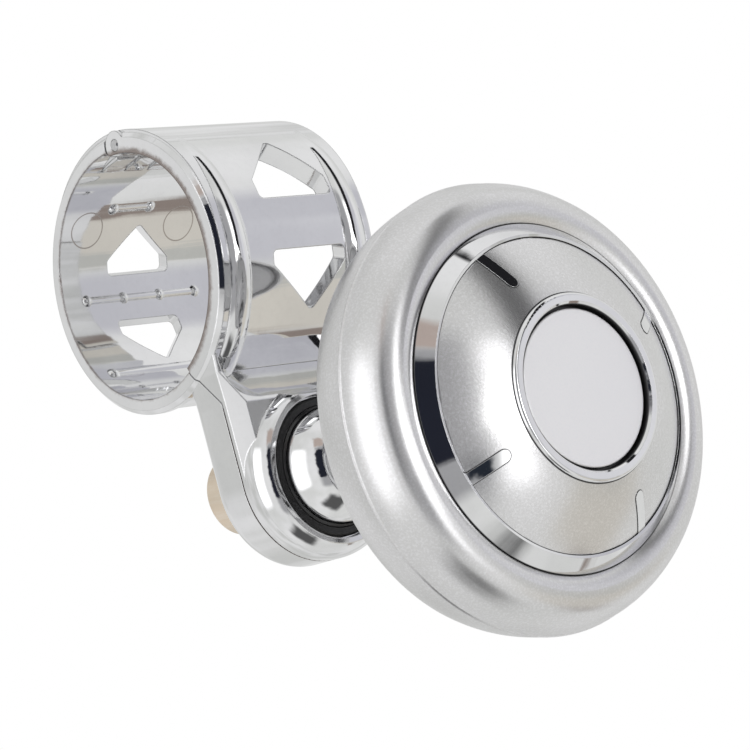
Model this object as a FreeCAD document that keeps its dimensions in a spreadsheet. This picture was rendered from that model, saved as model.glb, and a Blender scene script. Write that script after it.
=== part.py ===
import FreeCAD, Part
import math
import os
import re
import Sketcher

# Sizes in millimetres and degrees. The origin is the centre of the clamp
# bore, Y runs along the wheel rim and Z along the axis the knob spins on.
SIZES = {
    "bore_radius": 18.9, "rear_bore_radius": 19.6, "ring_radius": 21.5,
    "band_radius": 22, "ring_half": 15.6, "band_width": 1.8, "band_step": 0.4,
    "bead_width": 4.2, "bead_height": 0.95, "bead_bow": 2.9, "bead_shift": 0.4,
    "ring_chamfer": 0.7, "hinge_side_shift": 0.8, "hinge_side_rise": 0.2,
    "hinge_lip_angle": 92,
    "hinge_x": 20.15, "hinge_z": 2.2, "knuckle_radius": 2.3, "pin_radius": 0.95,
    "pin_play": 0.05, "knuckle_share": 0.551, "knuckle_gap": 0.35, "pin_bevel": 0.25,
    "split_angle": 63.5, "root_radius": 20.1, "seam_z": 13.8, "seam_gap": 0.2, "slope_x": 23.6,
    "arm_offset": 36, "boss_radius": 13.9, "arm_rear_z": 6, "arm_side_z": 14.6,
    "arm_front_z": 18.9, "arm_top_x": 8, "arm_shoulder_x": 19, "arm_mid_x": 24,
    "arm_top_inset": 0.5, "arm_mid_flare": 0.7, "arm_draft": 40, "arm_edge": 2.6,
    "ridge_x": 24.2, "ridge_top_z": 17.1, "ridge_low_x": 19, "ridge_low_z": 15,
    "ridge_end_x": 14.5, "flank_bow": 5.5, "lip_radius": 12.1, "lip_bevel": 0.35,
    "valley_start_z": 10, "crease_x": 18.3, "crease_z": 10.9, "web_x": 21.5, "web_z": 13.5,
    "valley_end_x": 24.6, "valley_end_z": 19.7, "valley_inset": 5.8, "valley_web_inset": 6.4,
    "valley_end_inset": 8, "valley_side_inset": 1.3, "valley_web_side": 2.1,
    "valley_end_side": 3.3, "valley_bow": 5.6, "valley_side_z": 20.7,
    "seat_radius": 11.24, "seat_floor_z": 17.5, "web_hole_radius": 4.6,
    "arm_hole_radius": 4.3,
    "front_base": 15.2, "front_shoulder": 24, "front_apex": 46.5,
    "lower_base": 6, "lower_shoulder": 12, "lower_apex": 32.5,
    "front_half_width": 7.1, "front_window_shift": 2.2, "window_corner": 0.8,
    "rear_base": 12, "rear_shoulder": 18.5, "rear_apex": 34, "rear_half_width": 6.05,
    "rib_tip": 18.97, "rib_radius": 0.68, "bead_radius": 1, "wide_rib_radius": 0.98,
    "wide_bead_radius": 1.18, "long_rib_angle": 180, "short_rib_angle": 136,
    "wide_rib_angle": 221, "long_rib_share": 0.7, "short_rib_start": 0.083,
    "short_rib_end": 0.385, "wide_rib_start": 0.55, "wide_rib_end": 0.78,
    "tooth_share": 0.78, "tooth_width": 0.23, "tooth_pitch": 0.295, "tooth_step": 0.55,
    "tooth_angle": 97, "tooth_length_angle": 15,
    "ball_radius": 9.6, "neck_z": 24.6, "neck_radius": 5.4, "flange_z": 26.7,
    "flange_radius": 7, "flange_top_z": 30, "stem_radius": 5.5, "stem_cone_z": 33,
    "post_bore_radius": 4, "post_bore_depth": 6.1, "post_tap_radius": 2.1,
    "post_tap_depth": 12, "seal_play": 0.29, "seal_height": 1.2,
    "seal_bevel": 0.4,
    "screw_radius": 3.235, "screw_tip_z": 22.5, "head_radius": 6.5, "head_height": 8,
    "head_bevel": 0.7, "socket_flats": 6, "socket_depth": 4, "washer_radius": 8,
    "washer_height": 1.6, "washer_hole_radius": 4.2, "spring_height": 2.1,
    "spring_radius": 6.4, "spring_slit": 1,
    "bearing_z": 50, "bearing_width": 7, "bearing_bore_radius": 4,
    "bearing_radius": 11, "race_inner_edge": 6.2, "race_outer_edge": 8.8,
    "pitch_radius": 7.5, "ball_size": 3.969, "race_play": 0.035, "cage_inner": 6.75,
    "cage_outer": 8.25, "cage_height": 3.2, "cage_play": 0.06, "ball_count": 7,
    "shield_thick": 0.3, "shield_inner": 6.7, "shield_inset": 0.35,
    "end_washer_radius": 6, "end_washer_height": 1.2, "end_screw_head": 4.6,
    "end_screw_height": 2.6, "end_head_slope": 1.4, "end_socket_flats": 3,
    "end_socket_depth": 1.5, "plate_radius": 14.6, "plate_height": 1.2,
    "plate_hole_radius": 9.7, "plate_screw_radius": 1.25, "plate_screw_circle": 12.75,
    "plate_head_radius": 1.7, "plate_head_height": 1.2, "plate_screw_depth": 4.5,
    "hub_radius": 15, "hub_bevel": 1.2, "hub_bottom_z": 45.5, "hub_mouth_radius": 9.3,
    "hub_flare": 5, "cover_edge": 1.2, "cover_ledge": 1.6,
    "cover_z": 55.4, "cover_height": 2.2, "cover_screw_circle": 19, "cover_hole_radius": 1.7,
    "cover_head_radius": 2.9, "cover_head_height": 1.9, "cover_screw_length": 9,
    "cover_screw_shank": 1.5,
    "rim_rear_z": 54.6, "rim_rear_radius": 31.2, "belt_z": 61.6, "belt_radius": 32.7,
    "belt_ridge": 0.2, "shoulder_z": 67.1, "shoulder_radius": 31, "crest_z": 69.4,
    "crest_radius": 27.6, "groove_z": 68.6, "groove_radius": 25.3, "rim_wall": 2.3,
    "lip_inner_radius": 23.6, "rim_lip_z": 67, "rim_lip_height": 1.6,
    "belt_bow": 16, "shoulder_bow": 11, "crest_bow": 4.6, "groove_bow": 3.2, "inner_bow": 9,
    "trim_play": 0.1, "trim_bottom_z": 68.3, "trim_top_z": 70.8, "trim_inner": 22.8,
    "trim_flat": 0.4, "tab_half": 0.9, "tab_reach": 17, "tab_height": 0.18,
    "tab_angle": 25, "tab_count": 4,
    "dome_sphere": 38.3, "dome_edge_z": 70.5, "dome_skirt_radius": 23.4,
    "dome_wall": 2, "dome_skirt_height": 1.4, "bezel_outer": 13.5, "bezel_inner": 11.8,
    "bezel_top_z": 76.2, "bezel_floor_z": 74, "bezel_shelf": 0.5, "bezel_edge": 0.5,
    "cap_radius": 11.4, "cap_top_z": 75.4, "boss_post_radius": 3.2,
}

doc = FreeCAD.newDocument("SpinnerKnob")
sheet = doc.addObject("Spreadsheet::Sheet", "Dims")
for row, (name, value) in enumerate(SIZES.items(), 1):
    sheet.set("A%d" % row, name)
    sheet.set("B%d" % row, str(value))
    sheet.setAlias("B%d" % row, name)
doc.recompute()
ENDS = []


def term(text):
    """Turn size names in a formula into references to the sheet."""
    def swap(match):
        word = match.group(0)
        return "Dims." + word if word in SIZES else word
    return re.sub(r"[a-z_]+", swap, str(text))


def value(text):
    result = sheet.evalExpression(term(text))
    return float(getattr(result, "Value", result))


def sine(radius, angle):
    return "(%s) * sin((%s) * 1deg)" % (radius, angle)


def cosine(radius, angle):
    return "(%s) * cos((%s) * 1deg)" % (radius, angle)


def body(node, x="0", z="0"):
    item = doc.addObject("PartDesign::Body", node)
    item.Label = node
    item.Placement = FreeCAD.Placement()
    item.setExpression("Placement.Base.x", term(x))
    item.setExpression("Placement.Base.z", term(z))
    ENDS.append(item)
    return item


def sketch(item, name, role, shift=("0", "0", "0"), turn="0"):
    """A sketch on one of the body's own planes, moved in its own axes and
    turned about its own vertical axis."""
    plane = [f for f in item.Origin.OriginFeatures if f.Role == role][0]
    drawn = item.newObject("Sketcher::SketchObject", name)
    drawn.AttachmentSupport = [(plane, "")]
    drawn.MapMode = "FlatFace"
    spin = FreeCAD.Rotation(FreeCAD.Vector(0, 1, 0), value(turn))
    move = FreeCAD.Vector(*[value(s) for s in shift])
    drawn.AttachmentOffset = FreeCAD.Placement(move, spin)
    return drawn


def outline(drawn, points):
    """A closed outline. Each point is (x, y), or (x, y, radius, bow) where an
    arc leads to it from the point before, bowing left (+1) or right (-1)."""
    first = drawn.GeometryCount
    spots = [FreeCAD.Vector(value(p[0]), value(p[1]), 0) for p in points]
    count = len(points)
    for i in range(count):
        a = spots[i]
        b = spots[(i + 1) % count]
        tail = points[(i + 1) % count]
        if len(tail) == 2:
            drawn.addGeometry(Part.LineSegment(a, b), False)
            continue
        radius = value(tail[2])
        chord = b - a
        left = FreeCAD.Vector(-chord.y, chord.x, 0).normalize()
        depth = math.sqrt(max(radius * radius - chord.Length ** 2 / 4, 0))
        centre = (a + b) * 0.5 - left * depth * tail[3]
        low, high = (b, a) if tail[3] > 0 else (a, b)
        start = math.atan2(low.y - centre.y, low.x - centre.x)
        end = math.atan2(high.y - centre.y, high.x - centre.x)
        end += 2 * math.pi if end < start else 0
        whole = Part.Circle(centre, FreeCAD.Vector(0, 0, 1), radius)
        drawn.addGeometry(Part.ArcOfCircle(whole, start, end), False)
    starts = []
    for i in range(count):
        tail = points[(i + 1) % count]
        starts.append((2, 1) if len(tail) > 2 and tail[3] > 0 else (1, 2))
    for i in range(count):
        j = (i + 1) % count
        drawn.addConstraint(Sketcher.Constraint(
            "Coincident", first + i, starts[i][1], first + j, starts[j][0]))
    for i in range(count):
        fix(drawn, "DistanceX", first + i, starts[i][0], spots[i].x, points[i][0])
        fix(drawn, "DistanceY", first + i, starts[i][0], spots[i].y, points[i][1])
        tail = points[(i + 1) % count]
        if len(tail) > 2:
            k = drawn.addConstraint(Sketcher.Constraint("Radius", first + i, value(tail[2])))
            drawn.setExpression("Constraints[%d]" % k, term(tail[2]))


def fix(drawn, kind, index, end, number, formula):
    k = drawn.addConstraint(Sketcher.Constraint(kind, -1, 1, index, end, number))
    drawn.setExpression("Constraints[%d]" % k, term(formula))


def circle(drawn, x, y, radius):
    spot = FreeCAD.Vector(value(x), value(y), 0)
    up = FreeCAD.Vector(0, 0, 1)
    index = drawn.addGeometry(Part.Circle(spot, up, value(radius)), False)
    fix(drawn, "DistanceX", index, 3, spot.x, x)
    fix(drawn, "DistanceY", index, 3, spot.y, y)
    k = drawn.addConstraint(Sketcher.Constraint("Radius", index, value(radius)))
    drawn.setExpression("Constraints[%d]" % k, term(radius))


def solid(item):
    doc.recompute()
    return item.Shape.Volume if item.Tip is not None else 0


def feature(item, kind, name, profile, cuts, **sizes):
    """Add a pad, pocket, revolution or groove and stop if it changed nothing."""
    before = solid(item)
    made = item.newObject("PartDesign::" + kind, name)
    made.Profile = profile
    for key in ("Midplane", "Reversed"):
        if key in sizes:
            setattr(made, key, sizes.pop(key))
    if "axis" in sizes:
        made.ReferenceAxis = (profile, [sizes.pop("axis")])
        made.Angle = 360
    for key, formula in sizes.items():
        made.setExpression(key, term(formula))
    after = solid(item)
    if (cuts and after > before - 1e-6) or (not cuts and after < before + 1e-6):
        raise RuntimeError("%s changed nothing in %s %s" % (name, item.Label, made.State))
    profile.Visibility = False
    return made


def turned(node, points, x="-arm_offset"):
    """A piece turned about the knob's axis from its half section."""
    item = body(node, x)
    drawn = sketch(item, node + "_section", "XZ_Plane")
    outline(drawn, points)
    feature(item, "Revolution", node + "_turned", drawn, False, axis="V_Axis")
    return item


def ring_of(item, source, count):
    """Repeat a feature about the body's vertical axis."""
    around = item.newObject("PartDesign::PolarPattern", source.Name + "_around")
    around.Originals = [source]
    axis = [f for f in item.Origin.OriginFeatures if f.Role == "Z_Axis"][0]
    around.Axis = (axis, [""])
    around.Angle = 360
    around.Occurrences = int(value(count))
    item.Tip = around
    doc.recompute()
    return around


def edges_where(shape, test):
    return ["Edge%d" % i for i, edge in enumerate(shape.Edges, 1) if test(edge)]


def soften(item, kind, name, test, size):
    """Fillet or chamfer the edges of the body that pass a test."""
    doc.recompute()
    tip = item.Tip
    names = edges_where(tip.Shape, test)
    if not names:
        raise RuntimeError("%s found no edges" % name)
    made = item.newObject("PartDesign::" + kind, name)
    made.Base = (tip, names)
    made.setExpression("Radius" if kind == "Fillet" else "Size", term(size))
    doc.recompute()
    return made


def ring_section(inner):
    """Half section of the clamp ring, x along the rim and y outward."""
    long = "ring_half"
    cut = "ring_chamfer"
    band = "ring_half - band_width"
    slope = "ring_half - band_width - band_step"
    return [
        ("-(%s) + 0.3" % long, inner),
        ("%s - 0.3" % long, inner),
        (long, "%s + 0.3" % inner),
        (long, "band_radius - %s" % cut),
        ("%s - %s" % (long, cut), "band_radius"),
        (band, "band_radius"),
        (slope, "ring_radius"),
        ("-(%s)" % slope, "ring_radius"),
        ("-(%s)" % band, "band_radius"),
        ("-(%s - %s)" % (long, cut), "band_radius"),
        ("-(%s)" % long, "band_radius - %s" % cut),
        ("-(%s)" % long, "%s + 0.3" % inner),
    ]


def ring_wall(item, name, inner):
    """The ring of one half, thicker on the side of the hinge."""
    drawn = sketch(item, name + "_section", "YZ_Plane")
    outline(drawn, ring_section(inner))
    feature(item, "Revolution", name, drawn, False, axis="H_Axis")
    side = sketch(item, name + "_side_shape", "XZ_Plane")
    circle(side, "hinge_side_shift", "hinge_side_rise", "ring_radius + 0.2")
    feature(item, "Pad", name + "_side", side, False, Midplane=True,
            Length="2 * (ring_half - ring_chamfer)")


def edge_bead(item, name, sign):
    """A rounded bead round the ring beside the band at one of its ends."""
    shift = "0.707 * bead_shift"
    drawn = sketch(item, name + "_section", "YZ_Plane", shift=("0", shift, "-(%s)" % shift))
    end = "%d * (ring_half - band_width)" % sign
    start = "%d * (ring_half - band_width - bead_width)" % sign
    top = "ring_radius + 0.15"
    points = [(start, "bore_radius + 1"), (end, "bore_radius + 1"), (end, top),
              (start, top, "bead_bow", -sign)]
    outline(drawn, points)
    feature(item, "Revolution", name, drawn, False, axis="H_Axis")


def arm_plan():
    """Plan of the arm, wide where it leaves the ring and round at the boss."""
    boss = "boss_radius"
    far = "-arm_offset"
    top = "(ring_half - arm_top_inset)"
    mid = "(boss_radius + arm_mid_flare)"
    return [
        ("-arm_top_x", "-" + top),
        ("-arm_top_x", top),
        ("-arm_shoulder_x", top),
        ("-arm_mid_x", mid),
        (far, boss),
        ("-arm_offset - boss_radius", "0", boss, -1),
        (far, "-" + boss, boss, -1),
        ("-arm_mid_x", "-" + mid),
        ("-arm_shoulder_x", "-" + top),
    ]


def parting(gap, keep_front):
    """Everything on the far side of the line where the two halves part."""
    sign = 1 if keep_front else -1
    step = "%d * (%s)" % (sign, gap)
    far = "2 * arm_offset"
    corner = "%d * (%s)" % (-sign, far)
    root = "root_radius"
    return [
        ("0", "0"),
        ("-(%s)" % sine(root, "split_angle"), "%s + %s" % (cosine(root, "split_angle"), step)),
        ("-slope_x", "seam_z + %s" % step),
        ("-(%s)" % far, "seam_z + %s" % step),
        ("-(%s)" % far, corner),
        (far, corner),
        ("hinge_x * 3.5", "hinge_z * 3.5"),
    ]


def window(item, name, base, shoulder, apex, width, sign, shift="0"):
    """A house-shaped opening through the ring wall, its apex toward sign."""
    middle = "(%s + %s) / 2" % (base, apex)

    def along(angle):
        return sine("ring_radius", "%d * (%s - (%s))" % (sign, angle, middle))

    facing = middle if sign > 0 else "-(%s)" % middle
    drawn = sketch(item, name + "_shape", "XY_Plane", turn=facing)
    low = "-(%s) - %s" % (width, shift)
    high = "%s - %s" % (width, shift)
    outline(drawn, [
        (along(base), low),
        (along(shoulder), low),
        (along(apex), "-1.3 * (%s)" % shift),
        (along(shoulder), high),
        (along(base), high),
    ])
    feature(item, "Pocket", name, drawn, True, Reversed=True, Length="band_radius + bead_width")
    turn = math.radians(value(facing))
    way = FreeCAD.Vector(math.sin(turn), 0, math.cos(turn))

    def corner(edge):
        if not isinstance(edge.Curve, Part.Line):
            return False
        run = edge.valueAt(edge.LastParameter) - edge.valueAt(edge.FirstParameter)
        return abs(run.Length - abs(run.dot(way))) < 1e-6
    soften(item, "Fillet", name + "_corners", corner, "window_corner")


def hinge_cut(item, name, radius, low, high):
    """A round clearance about the hinge from low to high along the rim."""
    drawn = sketch(item, name + "_shape", "XZ_Plane", shift=("0", "0", "-(%s)" % high))
    circle(drawn, "hinge_x", "hinge_z", radius)
    return feature(item, "Pocket", name, drawn, True, Reversed=True,
                   Length="(%s) - (%s)" % (high, low))


def knuckle(item, name, low, high):
    drawn = sketch(item, name + "_shape", "XZ_Plane", shift=("0", "0", "-(%s)" % high))
    circle(drawn, "hinge_x", "hinge_z", "knuckle_radius")
    return feature(item, "Pad", name, drawn, False, Length="(%s) - (%s)" % (high, low))


def through_rim(item, name, radius, x="0", z="0"):
    drawn = sketch(item, name + "_shape", "XZ_Plane")
    circle(drawn, x, z, radius)
    return feature(item, "Pocket", name, drawn, True, Midplane=True,
                   Length="2 * ring_half + 10")


def hole_down(item, name, x, radius, z, depth):
    """A round hole along the knob's axis, cut downward from height z."""
    drawn = sketch(item, name + "_shape", "XY_Plane", shift=("0", "0", z))
    circle(drawn, x, "0", radius)
    return feature(item, "Pocket", name, drawn, True, Length=depth)


THROUGH = "6 * ring_half"
TOP = "arm_front_z + 0.3"
KNUCKLE_HALF = "(knuckle_share * ring_half)"
GAP_HALF = "(knuckle_share * ring_half + knuckle_gap)"

# Front half of the clamp: arm with side ridges and a round boss, ring wall.
front = body("front_clamp_half")
plan = sketch(front, "front_arm_plan", "XY_Plane", shift=("0", "0", "arm_rear_z"))
outline(plan, arm_plan())
feature(front, "Pad", "front_arm", plan, False, Length="arm_side_z - arm_rear_z")
plan = sketch(front, "front_flank_plan", "XY_Plane", shift=("0", "0", "arm_side_z"))
outline(plan, arm_plan())
feature(front, "Pad", "front_flanks", plan, False, Length="ridge_top_z - arm_side_z",
        TaperAngle="-arm_draft")
slope = sketch(front, "ridge_slope_shape", "XZ_Plane")
outline(slope, [
    ("-ridge_x", "ridge_top_z"), ("-ridge_low_x", "ridge_low_z"),
    ("-ridge_end_x", "ridge_low_z"), ("-arm_top_x + 1", "ridge_low_z"),
    ("-arm_top_x + 1", "ridge_top_z + 1"), ("-ridge_x", "ridge_top_z + 1"),
])
feature(front, "Pocket", "ridge_slope", slope, True, Midplane=True, Length=THROUGH)
boss = sketch(front, "boss_section", "XZ_Plane", shift=("-arm_offset", "0", "0"))
outline(boss, [
    ("0", "seam_z"),
    ("boss_radius", "seam_z"),
    ("boss_radius", "arm_side_z"),
    ("lip_radius + lip_bevel", TOP + " - lip_bevel", "flank_bow", -1),
    ("lip_radius", TOP),
    ("0", TOP),
])
feature(front, "Revolution", "boss", boss, False, axis="V_Axis")
stations = [
    ("ridge_end_x", "valley_start_z", "ridge_low_z", "valley_inset", "valley_side_inset"),
    ("crease_x", "crease_z", "ridge_low_z", "valley_inset", "valley_side_inset"),
    ("web_x", "web_z", "ridge_low_z + 1", "valley_web_inset", "valley_web_side"),
    ("valley_end_x", "valley_end_z", "valley_side_z", "valley_end_inset", "valley_end_side"),
]
sections = []
for index, (x, floor, side, inset, edge) in enumerate(stations):
    drawn = sketch(front, "valley_section_%d" % index, "YZ_Plane", shift=("0", "0", "-" + x))
    low = "(ring_half - %s)" % inset
    high = "(ring_half - %s)" % edge
    top = "arm_front_z + 6"
    outline(drawn, [
        ("-" + high, side), ("-" + low, floor, "valley_bow", -1), (low, floor),
        (high, side, "valley_bow", -1), (high, top), ("-" + high, top),
    ])
    sections.append(drawn)
before = solid(front)
valley = front.newObject("PartDesign::SubtractiveLoft", "valley")
valley.Profile = sections[0]
valley.Sections = sections[1:]
if solid(front) > before - 1:
    raise RuntimeError("the valley cut nothing")
ring_wall(front, "front_ring", "(bore_radius - 0.3)")
edge_bead(front, "near_bead", 1)
edge_bead(front, "far_bead", -1)
cut = sketch(front, "front_parting", "XZ_Plane")
outline(cut, parting("seam_gap / 2", True))
feature(front, "Pocket", "front_parted", cut, True, Midplane=True, Length=THROUGH)
knuckle(front, "near_knuckle", GAP_HALF, "ring_half")
knuckle(front, "far_knuckle", "-ring_half", "-" + GAP_HALF)
through_rim(front, "front_bore", "bore_radius")
hinge_cut(front, "front_hinge_gap", "knuckle_radius + knuckle_gap",
          "-" + GAP_HALF, GAP_HALF)
through_rim(front, "front_pin_hole", "pin_radius", "hinge_x", "hinge_z")
window(front, "upper_window", "front_base", "front_shoulder", "front_apex",
       "front_half_width", 1, "front_window_shift")
window(front, "lower_window", "lower_base", "lower_shoulder", "lower_apex",
       "front_half_width", -1, "front_window_shift")
hole_down(front, "ball_seat", "-arm_offset", "seat_radius", "arm_front_z + 1",
          "arm_front_z + 1 - seat_floor_z")
hole_down(front, "web_hole", "-arm_offset", "web_hole_radius", "seat_floor_z + 0.5",
          "seat_floor_z - seam_z + 1")

# Rear half of the clamp: wall with grip ribs, wedge teeth and the arm's back.
rear = body("rear_clamp_half")
ring_wall(rear, "rear_ring", "(rear_bore_radius - 0.3)")
plan = sketch(rear, "rear_arm_plan", "XY_Plane", shift=("0", "0", "arm_rear_z"))
outline(plan, arm_plan())
feature(rear, "Pad", "rear_arm", plan, False, Length="seam_z - arm_rear_z")
soften(rear, "Fillet", "rear_arm_rounding",
       lambda e: abs(e.BoundBox.ZMax - value("arm_rear_z")) < 1e-4
       and abs(e.BoundBox.ZMin - value("arm_rear_z")) < 1e-4
       and e.BoundBox.XMin < -value("ring_radius + 0.2"), "arm_edge")
cut = sketch(rear, "rear_parting", "XZ_Plane")
outline(cut, parting("seam_gap / 2", False))
feature(rear, "Pocket", "rear_parted", cut, True, Midplane=True, Length=THROUGH)
knuckle(rear, "middle_knuckle", "-" + KNUCKLE_HALF, KNUCKLE_HALF)
clear = sketch(rear, "rear_bore_shape", "XZ_Plane")
circle(clear, "0", "0", "rib_tip")
feature(rear, "Pocket", "rear_bore", clear, True, Midplane=True, Length=THROUGH)
inside = sketch(rear, "rear_arm_bore_shape", "XZ_Plane")
wide = "rear_bore_radius"
outline(inside, [
    ("0", "0"),
    (sine(wide, "hinge_lip_angle"), cosine(wide, "hinge_lip_angle")),
    ("0", "-" + wide, wide, 1),
    (sine(wide, "-split_angle + 2"), cosine(wide, "split_angle - 2"), wide, 1),
])
feature(rear, "Pocket", "rear_arm_bore", inside, True, Midplane=True, Length=THROUGH)
hinge_cut(rear, "near_hinge_gap", "knuckle_radius + knuckle_gap", KNUCKLE_HALF,
          "ring_half + 1")
hinge_cut(rear, "far_hinge_gap", "knuckle_radius + knuckle_gap", "-ring_half - 1",
          "-" + KNUCKLE_HALF)
through_rim(rear, "rear_pin_hole", "pin_radius + pin_play", "hinge_x", "hinge_z")


def rib(name, angle, rod, bead, spots):
    """A grip rod sunk in the rear wall at an angle, with round beads on it,
    the first and the last of them at its ends."""
    depth = "(rib_tip + %s)" % bead
    drawn = sketch(rear, name + "_section", "XY_Plane", turn=angle)
    out = FreeCAD.Vector(value(sine(depth, angle)), 0, value(cosine(depth, angle)))
    drawn.AttachmentOffset = FreeCAD.Placement(out, drawn.AttachmentOffset.Rotation)
    half = "sqrt(%s * %s - %s * %s)" % (bead, bead, rod, rod)
    points = [("0", "%s - %s" % (spots[0], bead)),
              (rod, "%s + %s" % (spots[0], half), bead, -1)]
    for spot in spots[1:-1]:
        points.append((rod, "%s - %s" % (spot, half)))
        points.append((rod, "%s + %s" % (spot, half), bead, -1))
    points.append((rod, "%s - %s" % (spots[-1], half)))
    points.append(("0", "%s + %s" % (spots[-1], bead), bead, -1))
    outline(drawn, points)
    feature(rear, "Revolution", name, drawn, False, axis="V_Axis")


rib("long_rib", "long_rib_angle", "rib_radius", "bead_radius",
    ["%s * long_rib_share * ring_half / 3" % place for place in (-3, -1, 1, 3)])
rib("short_rib", "short_rib_angle", "rib_radius", "bead_radius",
    ["-short_rib_start * ring_half", "short_rib_end * ring_half"])
rib("wide_rib", "wide_rib_angle", "wide_rib_radius", "wide_bead_radius",
    ["-wide_rib_start * ring_half", "wide_rib_end * ring_half"])
for index in range(3):
    high = "(tooth_share - %d * tooth_pitch) * ring_half" % index
    tooth = sketch(rear, "tooth_%d_shape" % index, "XZ_Plane", shift=("0", "0", "-(%s)" % high))
    wall = "rear_bore_radius + 0.4"
    tip = "rear_bore_radius - tooth_step"
    outline(tooth, [
        (sine(wall, "tooth_angle - 0.5"), cosine(wall, "tooth_angle - 0.5")),
        (sine(tip, "tooth_angle"), cosine(tip, "tooth_angle")),
        (sine("rear_bore_radius", "tooth_angle + tooth_length_angle"),
         cosine("rear_bore_radius", "tooth_angle + tooth_length_angle")),
        (sine(wall, "tooth_angle + tooth_length_angle + 1"),
         cosine(wall, "tooth_angle + tooth_length_angle + 1")),
    ])
    feature(rear, "Pad", "tooth_%d" % index, tooth, False, Length="tooth_width * ring_half")
window(rear, "rear_upper_window", "(180 - rear_base)", "(180 - rear_shoulder)",
       "(180 - rear_apex)", "rear_half_width", 1)
window(rear, "rear_lower_window", "(180 + rear_base)", "(180 + rear_shoulder)",
       "(180 + rear_apex)", "rear_half_width", 1)
hole_down(rear, "screw_hole", "-arm_offset", "arm_hole_radius", "seam_z + 1",
          "seam_z - arm_rear_z + 2")

# Hinge pin with bevelled ends.
pin = body("hinge_pin")
drawn = sketch(pin, "pin_shape", "XZ_Plane")
circle(drawn, "hinge_x", "hinge_z", "pin_radius")
feature(pin, "Pad", "pin_rod", drawn, False, Midplane=True, Length="2 * ring_half + 0.4")
soften(pin, "Chamfer", "pin_ends", lambda e: len(e.Vertexes) == 1, "pin_bevel")

# Ball foot, neck, flange and post, turned in one piece.
post_top = "bearing_z + bearing_width - 0.2"
neck_low = "sqrt(ball_radius * ball_radius - (neck_z - seat_floor_z) * (neck_z - seat_floor_z))"
post = turned("knob_post", [
    ("post_bore_radius", "seat_floor_z"),
    ("ball_radius", "seat_floor_z"),
    (neck_low, "neck_z", "ball_radius", -1),
    ("neck_radius", "neck_z"),
    ("neck_radius", "flange_z"),
    ("flange_radius - 0.5", "flange_z"),
    ("flange_radius", "flange_z + 0.5"),
    ("flange_radius", "flange_top_z"),
    ("stem_radius", "stem_cone_z"),
    ("stem_radius", "bearing_z"),
    ("bearing_bore_radius", "bearing_z"),
    ("bearing_bore_radius", "%s - 0.4" % post_top),
    ("bearing_bore_radius - 0.4", post_top),
    ("post_tap_radius", post_top),
    ("post_tap_radius", "%s - post_tap_depth" % post_top),
    ("0", "%s - post_tap_depth - 1.2" % post_top),
    ("0", "seat_floor_z + post_bore_depth + 1.5"),
    ("post_bore_radius", "seat_floor_z + post_bore_depth"),
])

# Black ring round the ball foot.
turned("seat_ring", [
    ("ball_radius", "seat_floor_z"),
    ("seat_radius - seal_play", "seat_floor_z"),
    ("seat_radius - seal_play", "seat_floor_z + seal_height - seal_bevel"),
    ("seat_radius - seal_play - seal_bevel", "seat_floor_z + seal_height"),
    ("ball_radius", "seat_floor_z + seal_height"),
])

# Screw and washers behind the arm.
under_head = "arm_rear_z - washer_height - spring_height"
screw = turned("clamp_screw", [
    ("0", "%s - head_height" % under_head),
    ("head_radius - head_bevel", "%s - head_height" % under_head),
    ("head_radius", "%s - head_height + head_bevel" % under_head),
    ("head_radius", under_head),
    ("screw_radius", under_head),
    ("screw_radius", "screw_tip_z - 0.8"),
    ("screw_radius - 0.8", "screw_tip_z"),
    ("0", "screw_tip_z"),
])
hexagon = sketch(screw, "socket_shape", "XY_Plane",
                 shift=("0", "0", "%s - head_height" % under_head))
corner = "socket_flats / sqrt(3)"
outline(hexagon, [(cosine(corner, 60 * i), sine(corner, 60 * i)) for i in range(6)])
feature(screw, "Pocket", "hex_socket", hexagon, True, Reversed=True, Length="socket_depth")
spring = turned("spring_washer", [
    ("washer_hole_radius", under_head),
    ("spring_radius", under_head),
    ("spring_radius", "%s + spring_height" % under_head),
    ("washer_hole_radius", "%s + spring_height" % under_head),
])
slit = sketch(spring, "slit_shape", "XY_Plane", shift=("0", "0", "%s - 1" % under_head))
outline(slit, [("-spring_radius - 1", "-spring_slit / 2"), ("-screw_radius + 1", "-spring_slit / 2"),
               ("-screw_radius + 1", "spring_slit / 2"), ("-spring_radius - 1", "spring_slit / 2")])
feature(spring, "Pocket", "slit", slit, True, Reversed=True, Length="spring_height + 2")
turned("plain_washer", [
    ("washer_hole_radius", "arm_rear_z - washer_height"),
    ("washer_radius - 0.2", "arm_rear_z - washer_height"),
    ("washer_radius", "arm_rear_z - washer_height + 0.2"),
    ("washer_radius", "arm_rear_z"),
    ("washer_hole_radius", "arm_rear_z"),
])

# Ball bearing between the post and the knob.
race_top = "bearing_z + bearing_width"
race_mid = "bearing_z + bearing_width / 2"
track = "ball_size / 2 + race_play"
track_half = "sqrt((%s) * (%s) - (pitch_radius - %%s) * (pitch_radius - %%s))" % (track, track)
inner_half = track_half % ("race_inner_edge", "race_inner_edge")
outer_half = track_half % ("race_outer_edge", "race_outer_edge")
turned("bearing_inner_race", [
    ("bearing_bore_radius", "bearing_z"),
    ("race_inner_edge", "bearing_z"),
    ("race_inner_edge", "%s - %s" % (race_mid, inner_half)),
    ("race_inner_edge", "%s + %s" % (race_mid, inner_half), track, 1),
    ("race_inner_edge", race_top),
    ("bearing_bore_radius", race_top),
])
turned("bearing_outer_race", [
    ("race_outer_edge", "bearing_z"),
    ("bearing_radius", "bearing_z"),
    ("bearing_radius", race_top),
    ("race_outer_edge", race_top),
    ("race_outer_edge", "%s + %s" % (race_mid, outer_half)),
    ("race_outer_edge", "%s - %s" % (race_mid, outer_half), track, 1),
])
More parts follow.
